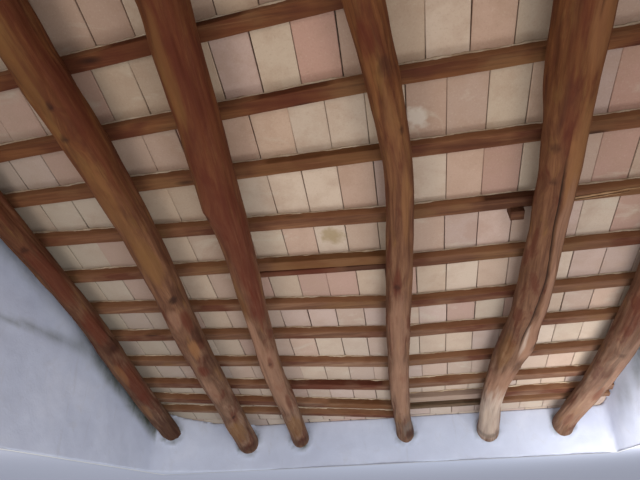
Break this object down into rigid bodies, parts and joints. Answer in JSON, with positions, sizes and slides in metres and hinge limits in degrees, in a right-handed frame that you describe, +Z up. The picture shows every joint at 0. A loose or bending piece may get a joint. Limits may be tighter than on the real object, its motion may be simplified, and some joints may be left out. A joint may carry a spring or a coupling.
{
  "type": "log beam and brick roof of an adobe house room, on its wall heads",
  "caption": "Single-pitch roof of an adobe room: crooked log beams, sawn battens, ceiling bricks, mortar bed and clay tiles, on the heads of its four walls.",
  "frame": {"origin": "middle of the footprint, on the level cut under the wall heads", "axes": "+X along the battens, +Y down the slope to the low wall, +Z up"},
  "size_m": [3.89, 5.2961, 1.9888],
  "materials": {
    "adobe_plaster": "rough lime-washed plaster",
    "log_wood": "rough, weathered",
    "batten_wood": "rough sawn",
    "brick_clay": "matt, unglazed",
    "lime_mortar": "rough",
    "tile_clay": "matt, unglazed"
  },
  "bodies": {
    "root": {"low_wall": "adobe_plaster", "high_wall": "adobe_plaster", "left_wall": "adobe_plaster", "right_wall": "adobe_plaster", "log_1": "log_wood", "log_2": "log_wood", "log_3": "log_wood", "log_4": "log_wood", "log_5": "log_wood", "log_6": "log_wood", "batten_01": "batten_wood", "batten_02": "batten_wood", "batten_03": "batten_wood", "batten_04": "batten_wood", "batten_05": "batten_wood", "batten_06": "batten_wood", "batten_07": "batten_wood", "batten_08": "batten_wood", "batten_09": "batten_wood", "batten_10": "batten_wood", "batten_11": "batten_wood", "batten_12": "batten_wood", "batten_13": "batten_wood", "batten_14": "batten_wood", "batten_15": "batten_wood", "batten_16": "batten_wood", "brick_course_01": "brick_clay", "brick_course_02": "brick_clay", "brick_course_03": "brick_clay", "brick_course_04": "brick_clay", "brick_course_05": "brick_clay", "brick_course_06": "brick_clay", "brick_course_07": "brick_clay", "brick_course_08": "brick_clay", "brick_course_09": "brick_clay", "brick_course_10": "brick_clay", "brick_course_11": "brick_clay", "brick_course_12": "brick_clay", "brick_course_13": "brick_clay", "brick_course_14": "brick_clay", "brick_course_15": "brick_clay", "brick_course_16": "brick_clay", "mortar_bed": "lime_mortar", "tile_cover": "tile_clay", "packing_block": "batten_wood"}
  },
  "joints": []
}
